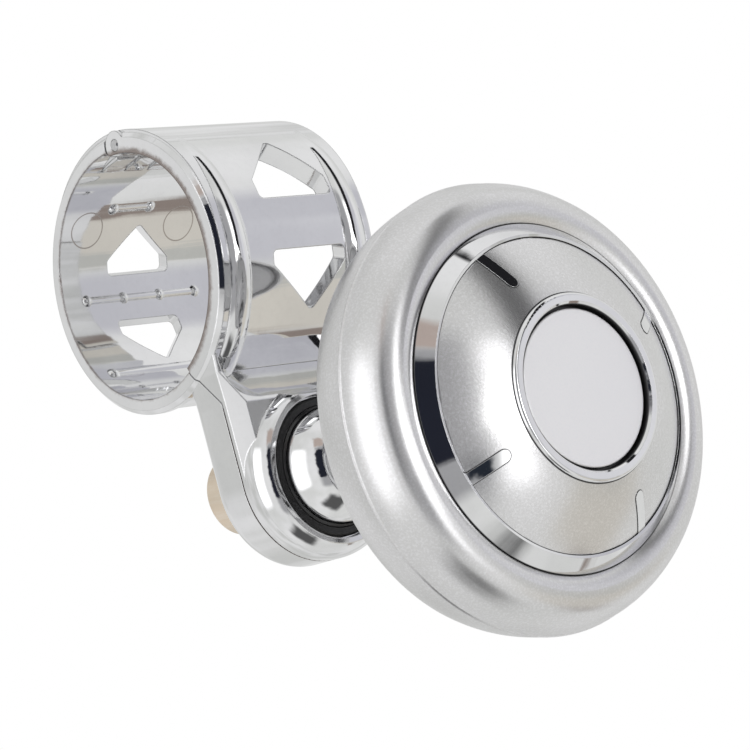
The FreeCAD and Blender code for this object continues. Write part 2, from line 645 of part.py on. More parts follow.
balls = turned("bearing_cage", [
    ("cage_inner", "%s - cage_height / 2" % race_mid),
    ("cage_outer", "%s - cage_height / 2" % race_mid),
    ("cage_outer", "%s + cage_height / 2" % race_mid),
    ("cage_inner", "%s + cage_height / 2" % race_mid),
])
pocket = sketch(balls, "ball_pocket_shape", "YZ_Plane", shift=("0", "0", "0"))
circle(pocket, "0", race_mid, "ball_size / 2 + cage_play")
first = feature(balls, "Pocket", "ball_pocket", pocket, True, Reversed=True,
                Length="cage_outer + 1")
ring_of(balls, first, "ball_count")


def loose(node, shapes):
    """Pieces that come as a set, held as one sub-part."""
    item = doc.addObject("Part::Feature", node)
    item.Label = node
    item.Shape = Part.makeCompound(shapes)
    item.Placement = FreeCAD.Placement(FreeCAD.Vector(value("-arm_offset"), 0, 0),
                                       FreeCAD.Rotation())
    ENDS.append(item)
    return item


def spread(radius, count, start=0.0):
    number = int(value(count))
    for i in range(number):
        angle = math.radians(start + 360.0 * i / number)
        yield value(radius) * math.cos(angle), value(radius) * math.sin(angle)


def vector(x, y, z):
    return FreeCAD.Vector(x, y, z)


UP = FreeCAD.Vector(0, 0, 1)
loose("bearing_balls", [
    Part.makeSphere(value("ball_size") / 2, vector(x, y, value(race_mid)))
    for x, y in spread("pitch_radius", "ball_count")])
shields = []
for height in (value("bearing_z + shield_inset"), value(race_top + " - shield_inset - shield_thick")):
    plate = Part.makeCylinder(value("race_outer_edge"), value("shield_thick"),
                              vector(0, 0, height))
    shields.append(plate.cut(Part.makeCylinder(value("shield_inner"), 2,
                                               vector(0, 0, height - 1))))
loose("bearing_shields", shields)

# Washer and screw that hold the inner race on the post.
turned("retainer_washer", [
    ("post_tap_radius + 0.3", race_top),
    ("end_washer_radius", race_top),
    ("end_washer_radius", "%s + end_washer_height" % race_top),
    ("post_tap_radius + 0.3", "%s + end_washer_height" % race_top),
])
head_base = "%s + end_washer_height" % race_top
end_screw = turned("post_screw", [
    ("0", "%s - end_washer_height - post_tap_depth + 2" % head_base),
    ("post_tap_radius", "%s - end_washer_height - post_tap_depth + 2" % head_base),
    ("post_tap_radius", head_base),
    ("end_screw_head", head_base),
    ("end_screw_head", "%s + end_screw_height / 2" % head_base),
    ("end_screw_head - end_head_slope", "%s + end_screw_height" % head_base),
    ("0", "%s + end_screw_height" % head_base),
])
hexagon = sketch(end_screw, "end_socket_shape", "XY_Plane",
                 shift=("0", "0", "%s + end_screw_height" % head_base))
corner = "end_socket_flats / sqrt(3)"
outline(hexagon, [(cosine(corner, 60 * i), sine(corner, 60 * i)) for i in range(6)])
feature(end_screw, "Pocket", "end_socket", hexagon, True, Length="end_socket_depth")

# Plate and screws that hold the outer race in the hub.
plate = turned("bearing_plate", [
    ("plate_hole_radius", race_top),
    ("plate_radius", race_top),
    ("plate_radius", "%s + plate_height" % race_top),
    ("plate_hole_radius", "%s + plate_height" % race_top),
])
drawn = sketch(plate, "plate_hole_shape", "XY_Plane", shift=("0", "0", "%s - 1" % race_top))
circle(drawn, "plate_screw_circle", "0", "plate_screw_radius")
first = feature(plate, "Pocket", "plate_hole", drawn, True, Reversed=True,
                Length="plate_height + 2")
ring_of(plate, first, "3")


def pan_screw(x, y, seat, head, height, shank, depth, up):
    """A pan-head screw whose head sits on seat and whose shank goes inward."""
    way = 1 if up else -1
    axis = vector(0, 0, way)
    top = Part.makeCylinder(head, height, vector(x, y, seat), axis)
    rim = [e for e in top.Edges if len(e.Vertexes) == 1
           and abs(e.BoundBox.ZMin - (seat + way * height)) < 1e-6]
    top = top.makeFillet(height * 0.4, rim)
    rod = Part.makeCylinder(shank, depth, vector(x, y, seat), axis * -1)
    slot = Part.makeCone(shank * 0.7, shank * 0.3, height * 0.6,
                         vector(x, y, seat + way * height), axis * -1)
    return top.fuse(rod).removeSplitter().cut(slot)


loose("plate_screws", [
    pan_screw(x, y, value("%s + plate_height" % race_top), value("plate_head_radius"),
              value("plate_head_height"), value("plate_screw_radius"),
              value("plate_screw_depth"), True)
    for x, y in spread("plate_screw_circle", "3")])

# Back of the knob with the hub that holds the bearing.
cover_top = "cover_z + cover_height"
cover_radius = "(rim_rear_radius - cover_edge)"
cover = turned("rear_cover", [
    ("hub_mouth_radius", "hub_bottom_z"),
    ("hub_radius - hub_bevel", "hub_bottom_z"),
    ("hub_radius", "hub_bottom_z + hub_bevel"),
    ("hub_radius", "cover_z - hub_flare"),
    ("hub_radius + hub_flare", "cover_z - hub_flare / 5"),
    (cover_radius + " - 1.5", "cover_z"),
    (cover_radius, "cover_z + 0.8"),
    (cover_radius, cover_top),
    ("hub_radius + 0.6", cover_top),
    ("hub_radius + 0.6", race_top),
    ("bearing_radius", race_top),
    ("bearing_radius", "bearing_z"),
    ("hub_mouth_radius", "bearing_z"),
])
drawn = sketch(cover, "cover_hole_shape", "XY_Plane", shift=("0", "0", "cover_z - hub_flare - 1"))
circle(drawn, "cover_screw_circle", "0", "cover_hole_radius")
first = feature(cover, "Pocket", "cover_hole", drawn, True, Reversed=True,
                Length="cover_height + hub_flare + 4")
ring_of(cover, first, "4")
drawn = sketch(cover, "cover_sink_shape", "XY_Plane", shift=("0", "0", "cover_z - hub_flare - 1"))
circle(drawn, "cover_screw_circle", "0", "cover_head_radius + 0.4")
first = feature(cover, "Pocket", "cover_sink", drawn, True, Reversed=True,
                Length="hub_flare + 1.3")
ring_of(cover, first, "4")
drawn = sketch(cover, "plate_tap_shape", "XY_Plane", shift=("0", "0", race_top))
circle(drawn, "plate_screw_circle", "0", "plate_screw_radius")
first = feature(cover, "Pocket", "plate_tap", drawn, True,
                Length="plate_screw_depth - plate_height + 0.5")
ring_of(cover, first, "3")
loose("cover_screws", [
    pan_screw(x, y, value("cover_z + 0.3"), value("cover_head_radius"),
              value("cover_head_height"), value("cover_screw_shank"),
              value("cover_screw_length"), False)
    for x, y in spread("cover_screw_circle", "4")])

# Satin rim of the knob.
wall = "rim_wall"
rim = turned("rim_shell", [
    (cover_radius + " + 0.1", "rim_rear_z"),
    ("rim_rear_radius - 0.4", "rim_rear_z"),
    ("rim_rear_radius", "rim_rear_z + 0.4"),
    ("belt_radius", "belt_z", "belt_bow", -1),
    ("belt_radius + belt_ridge", "belt_z + 0.3"),
    ("belt_radius", "belt_z + 0.6"),
    ("shoulder_radius", "shoulder_z", "shoulder_bow", -1),
    ("crest_radius", "crest_z", "crest_bow", -1),
    ("groove_radius", "groove_z", "groove_bow", -1),
    ("groove_radius", "rim_lip_z"),
    ("lip_inner_radius", "rim_lip_z"),
    ("lip_inner_radius", "rim_lip_z - rim_lip_height"),
    ("crest_radius", "rim_lip_z - rim_lip_height"),
    ("belt_radius - %s" % wall, "belt_z + 0.8", "inner_bow", -1),
    ("belt_radius - %s" % wall, "%s + 1.6" % cover_top),
    (cover_radius + " - cover_ledge", "%s + 1.6" % cover_top),
    (cover_radius + " - cover_ledge", cover_top),
    (cover_radius + " + 0.1", cover_top),
])

# Domed face with four bosses for the cover screws.
sphere_z = "dome_edge_z - sqrt(dome_sphere * dome_sphere - trim_inner * trim_inner)"
under = "dome_sphere - dome_wall"


def dome_height(radius, size="dome_sphere"):
    return "%s + sqrt((%s) * (%s) - (%s) * (%s))" % (sphere_z, size, size, radius, radius)


skirt_inner = "dome_skirt_radius - 2"
dome = turned("dome_plate", [
    ("0", "bezel_floor_z - dome_wall"),
    ("bezel_inner - 1", "bezel_floor_z - dome_wall"),
    (skirt_inner, dome_height(skirt_inner, under), under, 1),
    (skirt_inner, "rim_lip_z - dome_skirt_height"),
    ("dome_skirt_radius", "rim_lip_z - dome_skirt_height"),
    ("dome_skirt_radius", "rim_lip_z"),
    ("groove_radius - trim_play", "rim_lip_z"),
    ("groove_radius - trim_play", "trim_bottom_z"),
    ("trim_inner", "trim_bottom_z"),
    ("trim_inner", "dome_edge_z"),
    ("bezel_outer", dome_height("bezel_outer"), "dome_sphere", 1),
    ("bezel_outer", "bezel_floor_z"),
    ("0", "bezel_floor_z"),
])
drawn = sketch(dome, "boss_shape", "XY_Plane", shift=("0", "0", cover_top))
circle(drawn, "cover_screw_circle", "0", "boss_post_radius")
first = feature(dome, "Pad", "boss", drawn, False, Length="%s - 0.8 - (%s)" % (
    dome_height("cover_screw_circle + boss_post_radius", under), cover_top))
ring_of(dome, first, "4")
drawn = sketch(dome, "boss_tap_shape", "XY_Plane", shift=("0", "0", "%s - 0.5" % cover_top))
circle(drawn, "cover_screw_circle", "0", "cover_screw_shank")
first = feature(dome, "Pocket", "boss_tap", drawn, True, Reversed=True,
                Length="cover_screw_length")
ring_of(dome, first, "4")

# Chrome ring with four tabs that lie on the dome.
trim = turned("trim_ring", [
    ("trim_inner", "trim_bottom_z"),
    ("groove_radius - trim_play", "trim_bottom_z"),
    ("groove_radius - trim_play", "groove_z + 0.1"),
    ("trim_inner + trim_flat", "trim_top_z"),
    ("trim_inner", "trim_top_z - 0.1"),
])
tabs = sketch(trim, "tab_section", "XZ_Plane")
outline(tabs, [
    ("trim_inner + 0.3", dome_height("trim_inner + 0.3"), "dome_sphere", -1),
    ("trim_inner + 0.3", dome_height("trim_inner + 0.3", "dome_sphere + tab_height")),
    ("tab_reach", dome_height("tab_reach", "dome_sphere + tab_height"),
     "dome_sphere + tab_height", 1),
    ("tab_reach", dome_height("tab_reach")),
])
feature(trim, "Revolution", "tab_blank", tabs, False, axis="V_Axis")
gaps = sketch(trim, "between_tabs", "XY_Plane", shift=("0", "0", "bezel_top_z + 2"))
number = int(value("tab_count"))
for i in range(number):
    near = "tab_angle + 360 * %d / tab_count" % i
    far = "tab_angle + 360 * %d / tab_count" % (i + 1)
    edge = "tab_half"
    reach = "sqrt(trim_inner * trim_inner - tab_half * tab_half)"
    start = "tab_reach - 1"
    low = "sqrt((%s) * (%s) - tab_half * tab_half)" % (start, start)

    def place(along, across, angle):
        x = "(%s) * cos((%s) * 1deg) - (%s) * sin((%s) * 1deg)" % (along, angle, across, angle)
        y = "(%s) * sin((%s) * 1deg) + (%s) * cos((%s) * 1deg)" % (along, angle, across, angle)
        return x, y

    outline(gaps, [
        place(low, edge, near) + (start, 1),
        place(reach, edge, near),
        place(reach, "-tab_half", far) + ("trim_inner", -1),
        place(low, "-tab_half", far),
    ])
feature(trim, "Pocket", "tabs", gaps, True, Length="bezel_top_z + 2 - trim_bottom_z + 2")

# Polished ring round the plain disc in the middle.
turned("bezel_ring", [
    ("bezel_inner - bezel_shelf", "bezel_floor_z"),
    ("bezel_outer", "bezel_floor_z"),
    ("bezel_outer", "bezel_top_z - bezel_edge"),
    ("bezel_outer - bezel_edge", "bezel_top_z", "bezel_edge", -1),
    ("bezel_inner + 0.4", "bezel_top_z"),
    ("bezel_inner", "bezel_top_z - 0.4"),
    ("bezel_inner", "bezel_floor_z + 0.3"),
    ("bezel_inner - bezel_shelf", "bezel_floor_z + 0.3"),
])
turned("centre_cap", [
    ("0", "bezel_floor_z + 0.3"),
    ("cap_radius - 0.3", "bezel_floor_z + 0.3"),
    ("cap_radius", "bezel_floor_z + 0.5"),
    ("cap_radius", "cap_top_z - 0.2"),
    ("cap_radius - 0.2", "cap_top_z"),
    ("0", "cap_top_z"),
])

doc.recompute()
for item in doc.Objects:
    if "Invalid" in item.State or "Error" in item.State:
        raise RuntimeError("%s is %s" % (item.Name, item.State))
os.makedirs("parts", exist_ok=True)
for item in ENDS:
    if item.Shape.isNull() or not item.Shape.isValid():
        raise RuntimeError("%s has no good shape" % item.Label)
    item.Shape.exportStep("parts/%s.step" % item.Label)
    box = item.Shape.BoundBox
    print("%-20s %9.1f  %6.2f %6.2f %6.2f  %6.2f %6.2f %6.2f" % (
        item.Label, item.Shape.Volume, box.XMin, box.YMin, box.ZMin,
        box.XMax, box.YMax, box.ZMax))
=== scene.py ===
import math
import bpy
import bmesh
from mathutils import Matrix, Vector


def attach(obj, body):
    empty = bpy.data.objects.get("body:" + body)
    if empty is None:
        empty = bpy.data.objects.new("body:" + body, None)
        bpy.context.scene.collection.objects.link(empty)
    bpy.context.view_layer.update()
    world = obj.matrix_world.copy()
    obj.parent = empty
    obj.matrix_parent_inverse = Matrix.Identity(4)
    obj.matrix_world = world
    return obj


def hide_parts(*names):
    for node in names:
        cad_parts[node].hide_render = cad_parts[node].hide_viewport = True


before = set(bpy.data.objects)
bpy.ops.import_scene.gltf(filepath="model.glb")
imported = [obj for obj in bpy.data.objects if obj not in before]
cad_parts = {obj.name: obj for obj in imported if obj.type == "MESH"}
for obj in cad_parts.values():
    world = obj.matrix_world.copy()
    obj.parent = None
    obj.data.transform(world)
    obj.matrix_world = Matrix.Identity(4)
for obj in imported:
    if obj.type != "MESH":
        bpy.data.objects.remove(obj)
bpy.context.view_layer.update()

scene = bpy.context.scene
scene.view_settings.view_transform = "Standard"
mm = 0.001
knobX = -36.0

# Camera at the photograph's viewing angle.
shot = {"lens": 144.0, "sensor": 36.0, "near": 0.01, "far": 20.0,
        "at": (-0.069493, 0.294329, 0.368841),
        "turn": ((-0.212946, 0.971989, -0.099453),
                 (-0.748796, -0.096961, 0.65567),
                 (0.627661, 0.214093, 0.748469))}


def makeCamera():
    data = bpy.data.cameras.new("camera")
    data.lens = shot["lens"]
    data.sensor_width = shot["sensor"]
    data.clip_start = shot["near"]
    data.clip_end = shot["far"]
    camera = bpy.data.objects.new("camera", data)
    scene.collection.objects.link(camera)
    camera.matrix_world = Matrix.Translation(shot["at"]) @ Matrix(shot["turn"]).to_4x4()
    scene.camera = camera


makeCamera()
print("camera ready")


# Small helpers for node trees. A value may be a number or a socket.
def put(tree, socket, value):
    if isinstance(value, bpy.types.NodeSocket):
        tree.links.new(value, socket)
    else:
        socket.default_value = value


def add(tree, kind, values, **settings):
    node = tree.nodes.new(kind)
    for setting in settings:
        setattr(node, setting, settings[setting])
    for key, value in values.items():
        put(tree, node.inputs[key], value)
    return node


def calc(tree, operation, a, b=0.0, c=0.0):
    return add(tree, "ShaderNodeMath", {0: a, 1: b, 2: c}, operation=operation).outputs[0]


def vector(tree, operation, a, b=(0.0, 0.0, 0.0)):
    node = add(tree, "ShaderNodeVectorMath", {0: a, 1: b}, operation=operation)
    return node.outputs["Value" if operation in ("DOT_PRODUCT", "LENGTH") else "Vector"]


def hypot(tree, a, b):
    return calc(tree, "SQRT", calc(tree, "ADD", calc(tree, "POWER", a, 2.0), calc(tree, "POWER", b, 2.0)))


def between(tree, value, low, high, start=0.0, end=1.0):
    values = {"Value": value, "From Min": low, "From Max": high, "To Min": start, "To Max": end}
    return add(tree, "ShaderNodeMapRange", values, interpolation_type="SMOOTHSTEP").outputs["Result"]


def blend(tree, amount, a, b):
    a, b = [tone + (1.0,) if isinstance(tone, tuple) else tone for tone in (a, b)]
    return add(tree, "ShaderNodeMix", {0: amount, 6: a, 7: b}, data_type="RGBA").outputs[2]


def noise(tree, place, scale, detail=3.0, rough=0.5):
    values = {"Vector": place, "Scale": scale, "Detail": detail, "Roughness": rough}
    return add(tree, "ShaderNodeTexNoise", values).outputs["Fac"]


def bump(tree, height, depth, normal):
    values = {"Strength": 1.0, "Distance": depth * mm, "Height": height, "Normal": normal}
    return add(tree, "ShaderNodeBump", values).outputs["Normal"]


def objectPlace(tree):
    return tree.nodes.new("ShaderNodeTexCoord").outputs["Object"]


def fromKnob(tree, place):
    return vector(tree, "SUBTRACT", place, (knobX * mm, 0.0, 0.0))


# One surface recipe: two tones, uneven gloss, waves, grain, softened edges, and a painted dark reflection
# along sharp edges.
creased = {"from": 0.72, "to": 0.94, "tone": (0.1, 0.1, 0.105)}
lineRough = 0.5


def surface(name, look, marks=None):
    made = bpy.data.materials.new(name)
    made.use_nodes = True
    tree = made.node_tree
    shader = tree.nodes["Principled BSDF"]
    place = objectPlace(tree)
    stretched = vector(tree, "MULTIPLY", place, look.get("stretch", (1.0, 1.0, 1.0)))
    cloud = noise(tree, stretched, look["cloudScale"], 4.0)
    speck = noise(tree, stretched, look["grainScale"], 2.0, 0.6)
    colour = blend(tree, between(tree, cloud, 0.3, 0.7), look["colour"], look["tone"])
    colour = blend(tree, between(tree, speck, 0.42, 0.72, 0.0, look["speckle"]), colour, look["fleck"])
    rough = calc(tree, "ADD", look["rough"], calc(tree, "MULTIPLY", cloud, look["roughVary"]))
    soft = add(tree, "ShaderNodeBevel", {"Radius": look["edge"] * mm}, samples=6).outputs["Normal"]
    wave = bump(tree, noise(tree, place, look["waveScale"], 1.0), look["waveDepth"], soft)
    grain = bump(tree, speck, look["grainDepth"], wave)
    # Painted dark reflection: sharp edges are darkened where the true normal turns away from the softened
    # one.
    if look.get("crease"):
        bare = tree.nodes.new("ShaderNodeNewGeometry").outputs["Normal"]
        same = vector(tree, "DOT_PRODUCT", bare, soft)
        edgeReflectionMask = between(tree, same, creased["from"], creased["to"], look["crease"], 0.0)
        colour = blend(tree, edgeReflectionMask, colour, creased["tone"])
    if marks:
        line = marks(tree, place)
        colour = blend(tree, line, colour, look["line"])
        rough = calc(tree, "MAXIMUM", rough, calc(tree, "MULTIPLY", line, lineRough))
    put(tree, shader.inputs["Base Color"], colour)
    put(tree, shader.inputs["Roughness"], rough)
    put(tree, shader.inputs["Normal"], grain)
    shader.inputs["Metallic"].default_value = look["metal"]
    return made


chromeLook = {"colour": (0.86, 0.862, 0.868), "tone": (0.8, 0.802, 0.812), "fleck": (0.7, 0.7, 0.71),
              "speckle": 0.12, "metal": 1.0, "rough": 0.02, "roughVary": 0.05, "edge": 0.3,
              "cloudScale": 70.0, "grainScale": 900.0, "grainDepth": 0.0012,
              "waveScale": 75.0, "waveDepth": 0.06, "line": (0.02, 0.02, 0.022), "crease": 0.9}
satinLook = {"colour": (0.745, 0.742, 0.745), "tone": (0.725, 0.72, 0.722), "fleck": (0.93, 0.93, 0.95),
             "speckle": 0.5, "metal": 0.95, "rough": 0.28, "roughVary": 0.02, "edge": 0.2,
             "cloudScale": 40.0, "grainScale": 3000.0, "grainDepth": 0.006,
             "waveScale": 40.0, "waveDepth": 0.004, "line": (0.03, 0.03, 0.032)}
steelLook = {"colour": (0.62, 0.62, 0.63), "tone": (0.5, 0.5, 0.51), "fleck": (0.75, 0.75, 0.76),
             "speckle": 0.4, "metal": 1.0, "rough": 0.18, "roughVary": 0.16, "edge": 0.12,
             "cloudScale": 160.0, "grainScale": 1500.0, "grainDepth": 0.004,
             "waveScale": 120.0, "waveDepth": 0.01}
rubberLook = {"colour": (0.012, 0.012, 0.013), "tone": (0.02, 0.02, 0.021), "fleck": (0.05, 0.05, 0.052),
              "speckle": 0.3, "metal": 0.0, "rough": 0.25, "roughVary": 0.15, "edge": 0.15,
              "cloudScale": 120.0, "grainScale": 1800.0, "grainDepth": 0.006,
              "waveScale": 120.0, "waveDepth": 0.01}

# Dark parting line along the arm, and the stained inner edge at the ring's open end.
stained = {"seam": 13.8, "width": 0.14, "armFrom": -24.4, "end": 15.25, "inner": 19.65, "outer": 20.7,
           "seamShare": 0.95, "stainShare": 0.72, "uneven": 1.2, "tone": (0.15, 0.088, 0.06)}


def clampMarks(tree, place):
    x, y, z = add(tree, "ShaderNodeSeparateXYZ", {0: place}).outputs
    width = stained["width"] * mm
    off = calc(tree, "ABSOLUTE", calc(tree, "SUBTRACT", z, stained["seam"] * mm))
    seam = between(tree, off, 0.6 * width, width, stained["seamShare"], 0.0)
    seam = calc(tree, "MULTIPLY", seam, calc(tree, "LESS_THAN", x, stained["armFrom"] * mm))
    radius = calc(tree, "MULTIPLY_ADD", noise(tree, place, 700.0, 3.0, 0.7), stained["uneven"] * mm,
                  hypot(tree, x, z))
    stain = between(tree, radius, stained["inner"] * mm, stained["outer"] * mm, stained["stainShare"], 0.0)
    stain = calc(tree, "MULTIPLY", stain, calc(tree, "GREATER_THAN", y, stained["end"] * mm))
    return calc(tree, "MAXIMUM", seam, stain)


# Round marks left by the moulding on the inner face of the rear half.
moulded = {"angle": 146.0, "along": (10.5, -8.0), "radius": 3.0, "width": 0.16, "share": 0.55,
           "wall": (15.0, 19.9)}


def mouldMarks(tree, place):
    turn = math.radians(moulded["angle"])
    out = (math.sin(turn), 0.0, math.cos(turn))
    width = moulded["width"] * mm
    low, high = moulded["wall"]
    total = clampMarks(tree, place)
    for along in moulded["along"]:
        rel = vector(tree, "SUBTRACT", place, (0.0, along * mm, 0.0))
        height = vector(tree, "DOT_PRODUCT", rel, out)
        side = calc(tree, "POWER", vector(tree, "LENGTH", rel), 2.0)
        flat = calc(tree, "SQRT", calc(tree, "SUBTRACT", side, calc(tree, "POWER", height, 2.0)))
        off = calc(tree, "ABSOLUTE", calc(tree, "SUBTRACT", flat, moulded["radius"] * mm))
        ring = between(tree, off, 0.3 * width, width, moulded["share"], 0.0)
        inside = calc(tree, "MULTIPLY", calc(tree, "GREATER_THAN", height, low * mm),
                      calc(tree, "LESS_THAN", height, high * mm))
        total = calc(tree, "MAXIMUM", total, calc(tree, "MULTIPLY", ring, inside))
    return total


# Domed face and the tabs in it. The margin keeps the rims of the face, where it meets its
# neighbours, as they are.
dome = {"ball": 38.3, "edge": 70.5, "outer": 22.8, "inner": 13.5, "wall": 2.0, "margin": 0.05,
        "skin": 0.45, "facing": 0.3, "cuts": 3, "merge": 2e-6, "line": 0.2}
tabs = {"count": 4, "angle": 25.0, "reach": 17.0, "half": 0.9, "overlap": 0.3, "lift": 0.1, "deep": 0.4,
        "steps": 26, "across": 8, "crowd": 1.6, "tip": 0.0004}


# Dark outlines round the tabs, the trim band and the polished ring on the dome.
def domeLines(tree, place):
    turn = math.radians(tabs["angle"])
    rel = fromKnob(tree, place)
    x = calc(tree, "ABSOLUTE", vector(tree, "DOT_PRODUCT", rel, (math.cos(turn), math.sin(turn), 0.0)))
    y = calc(tree, "ABSOLUTE", vector(tree, "DOT_PRODUCT", rel, (-math.sin(turn), math.cos(turn), 0.0)))
    along = calc(tree, "MAXIMUM", x, y)
    across = calc(tree, "MINIMUM", x, y)
    past = calc(tree, "SUBTRACT", along, (tabs["reach"] + tabs["half"]) * mm)
    past = calc(tree, "MINIMUM", past, 0.0)
    tab = calc(tree, "SUBTRACT", hypot(tree, across, past), tabs["half"] * mm)
    radius = hypot(tree, x, y)
    band = calc(tree, "SUBTRACT", dome["outer"] * mm, radius)
    ring = calc(tree, "SUBTRACT", radius, dome["inner"] * mm)
    nearest = calc(tree, "MINIMUM", calc(tree, "MINIMUM", tab, band), ring)
    return between(tree, nearest, 0.5 * dome["line"] * mm, dome["line"] * mm, 0.95, 0.0)


# Dark band past one radius on a turned piece, inside or outside it: a dark joint where the piece meets its
# neighbour, and on the bezel's inner wall a painted dark reflection.
jointAndReflectionBlend = {"soft": 0.05, "share": 0.9}


def darkJointAndReflection(radius, outward):
    def marks(tree, place):
        flat = vector(tree, "LENGTH", vector(tree, "MULTIPLY", fromKnob(tree, place), (1.0, 1.0, 0.0)))
        ends = (0.0, jointAndReflectionBlend["share"]) if outward else (jointAndReflectionBlend["share"], 0.0)
        return between(tree, flat, (radius - jointAndReflectionBlend["soft"]) * mm, (radius + jointAndReflectionBlend["soft"]) * mm, *ends)
    return marks


def variant(look, **changes):
    return {**look, **changes}


goldLook = variant(steelLook, colour=(0.85, 0.735, 0.6), tone=(0.77, 0.65, 0.52), fleck=(0.9, 0.83, 0.73),
                   rough=0.24, stretch=(1.0, 1.0, 0.15))
looks = {
    "front_clamp_half": surface("chrome_front", variant(chromeLook, line=stained["tone"]), clampMarks),
    "rear_clamp_half": surface("chrome_rear", variant(
        chromeLook, waveScale=95.0, line=stained["tone"]), mouldMarks),
    "hinge_pin": surface("pin_steel", variant(steelLook, rough=0.12)),
    "knob_post": surface("chrome_post", variant(chromeLook, waveDepth=0.015, edge=0.2)),
    "seat_ring": surface("black_rubber", rubberLook),
    "clamp_screw": surface("zinc_screw", goldLook),
    "spring_washer": surface("zinc_spring", variant(goldLook, tone=(0.66, 0.58, 0.44))),
    "plain_washer": surface("zinc_washer", variant(goldLook, rough=0.3, stretch=(1.0, 1.0, 1.0))),
    "bearing_inner_race": surface("race_inner", variant(steelLook, rough=0.07, stretch=(1.0, 1.0, 9.0))),
    "bearing_outer_race": surface("race_outer", variant(steelLook, rough=0.08, stretch=(1.0, 1.0, 9.0))),
    "bearing_balls": surface("ball_steel", variant(chromeLook, colour=(0.72, 0.72, 0.73), edge=0.02)),
    "bearing_cage": surface("cage_bronze", variant(
        steelLook, colour=(0.72, 0.5, 0.26), tone=(0.6, 0.4, 0.2))),
    "bearing_shields": surface("shield_steel", variant(steelLook, rough=0.26, stretch=(1.0, 1.0, 0.2))),
    "retainer_washer": surface("washer_steel", variant(steelLook, rough=0.3)),
    "post_screw": surface("dark_screw", variant(
        steelLook, colour=(0.09, 0.09, 0.095), tone=(0.05, 0.05, 0.055))),
    "bearing_plate": surface("plate_steel", variant(steelLook, stretch=(4.0, 1.0, 1.0), rough=0.28)),
    "plate_screws": surface("plate_screw_zinc", variant(steelLook, colour=(0.7, 0.71, 0.74))),
    "rear_cover": surface("cover_plastic", variant(
        satinLook, colour=(0.6, 0.6, 0.61), tone=(0.54, 0.54, 0.55), fleck=(0.68, 0.68, 0.69),
        metal=0.2, rough=0.42, grainScale=1500.0, grainDepth=0.03)),
    "cover_screws": surface("cover_screw_zinc", variant(steelLook, colour=(0.68, 0.69, 0.72))),
    "rim_shell": surface("satin_rim", satinLook),
    "dome_plate": surface("pearl_dome", variant(satinLook, rough=0.22, speckle=0.45, edge=0.1), domeLines),
    "centre_cap": surface("satin_cap", variant(
        satinLook, rough=0.4, edge=0.35, colour=(0.98, 0.972, 0.98), tone=(0.96, 0.952, 0.965),
        metal=0.7), darkJointAndReflection(11.3, True)),
    "trim_ring": surface("chrome_trim", variant(
        chromeLook, waveScale=260.0, waveDepth=0.02, edge=0.08, crease=0.0), darkJointAndReflection(25.13, True)),
    # Bezel darkened inside radius 11.9: painted dark reflection on its inner wall.
    "bezel_ring": surface("mirror_bezel", variant(
        chromeLook, waveDepth=0.004, edge=0.08, crease=0.0), darkJointAndReflection(11.9, False)),
}
for node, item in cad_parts.items():
    item.data.materials.clear()
    item.data.materials.append(looks[node])
print("materials ready")


# Object from a mesh, merged, with outward normals and sharp edges kept.
shading = {"merge": 1e-7, "sharp": 28.0}


def makePiece(name, data, finish):
    shape = bmesh.new()
    shape.from_mesh(data)
    bmesh.ops.remove_doubles(shape, verts=shape.verts, dist=shading["merge"])
    bmesh.ops.recalc_face_normals(shape, faces=shape.faces)
    for face in shape.faces:
        face.smooth = True
    shape.to_mesh(data)
    shape.free()
    data.set_sharp_from_angle(angle=math.radians(shading["sharp"]))
    data.materials.clear()
    data.materials.append(finish)
    item = bpy.data.objects.new(name, data)
    scene.collection.objects.link(item)
    return item


# Closed ring turned from a section of radius and height round the knob axis.
def turnedRing(name, section, finish, steps):
    verts = []
    faces = []
    count = len(section)
    for i in range(steps):
        angle = 2.0 * math.pi * i / steps
        for radius, height in section:
            x, y = knobX + radius * math.cos(angle), radius * math.sin(angle)
            verts.append((x * mm, y * mm, height * mm))
        n = (i + 1) % steps
        for j in range(count):
            k = (j + 1) % count
            faces.append((i * count + j, i * count + k, n * count + k, n * count + j))
    data = bpy.data.meshes.new(name)
    data.from_pydata(verts, [], faces)
    data.update()
    return makePiece(name, data, finish)


# Node group with named inputs, closed by a material, and the plain mesh made from it.
def openGroup(name, inputs):
    group = bpy.data.node_groups.new(name, "GeometryNodeTree")
    for key, kind in inputs.items():
        group.interface.new_socket(name=key, in_out="INPUT", socket_type="NodeSocket" + kind)
    group.interface.new_socket(name="Geometry", in_out="OUTPUT", socket_type="NodeSocketGeometry")
    return group, group.nodes.new("NodeGroupInput").outputs


def closeGroup(group, geometry, finish):
    paint = add(group, "GeometryNodeSetMaterial", {"Geometry": geometry, "Material": finish})
    add(group, "NodeGroupOutput", {0: paint.outputs["Geometry"]})


def bake(name, group, values):
    item = bpy.data.objects.new(name, bpy.data.meshes.new(name))
    scene.collection.objects.link(item)
    made = item.modifiers.new(name, "NODES")
    made.node_group = group
    for socket in group.interface.items_tree:
        if socket.in_out == "INPUT":
            made[socket.identifier] = values[socket.name]
    item.update_tag()
    graph = bpy.context.evaluated_depsgraph_get()
    graph.update()
    data = bpy.data.meshes.new_from_object(item.evaluated_get(graph), depsgraph=graph)
    item.modifiers.clear()
    item.data = data
    data.name = name
    return item


# Domed face, with its top drawn as the bulging cap that the reflections show.
def domeHeight(radius, lift=0.0):
    centre = dome["edge"] - math.sqrt(dome["ball"] ** 2 - dome["outer"] ** 2)
    return centre + math.sqrt((dome["ball"] + lift) ** 2 - radius ** 2)


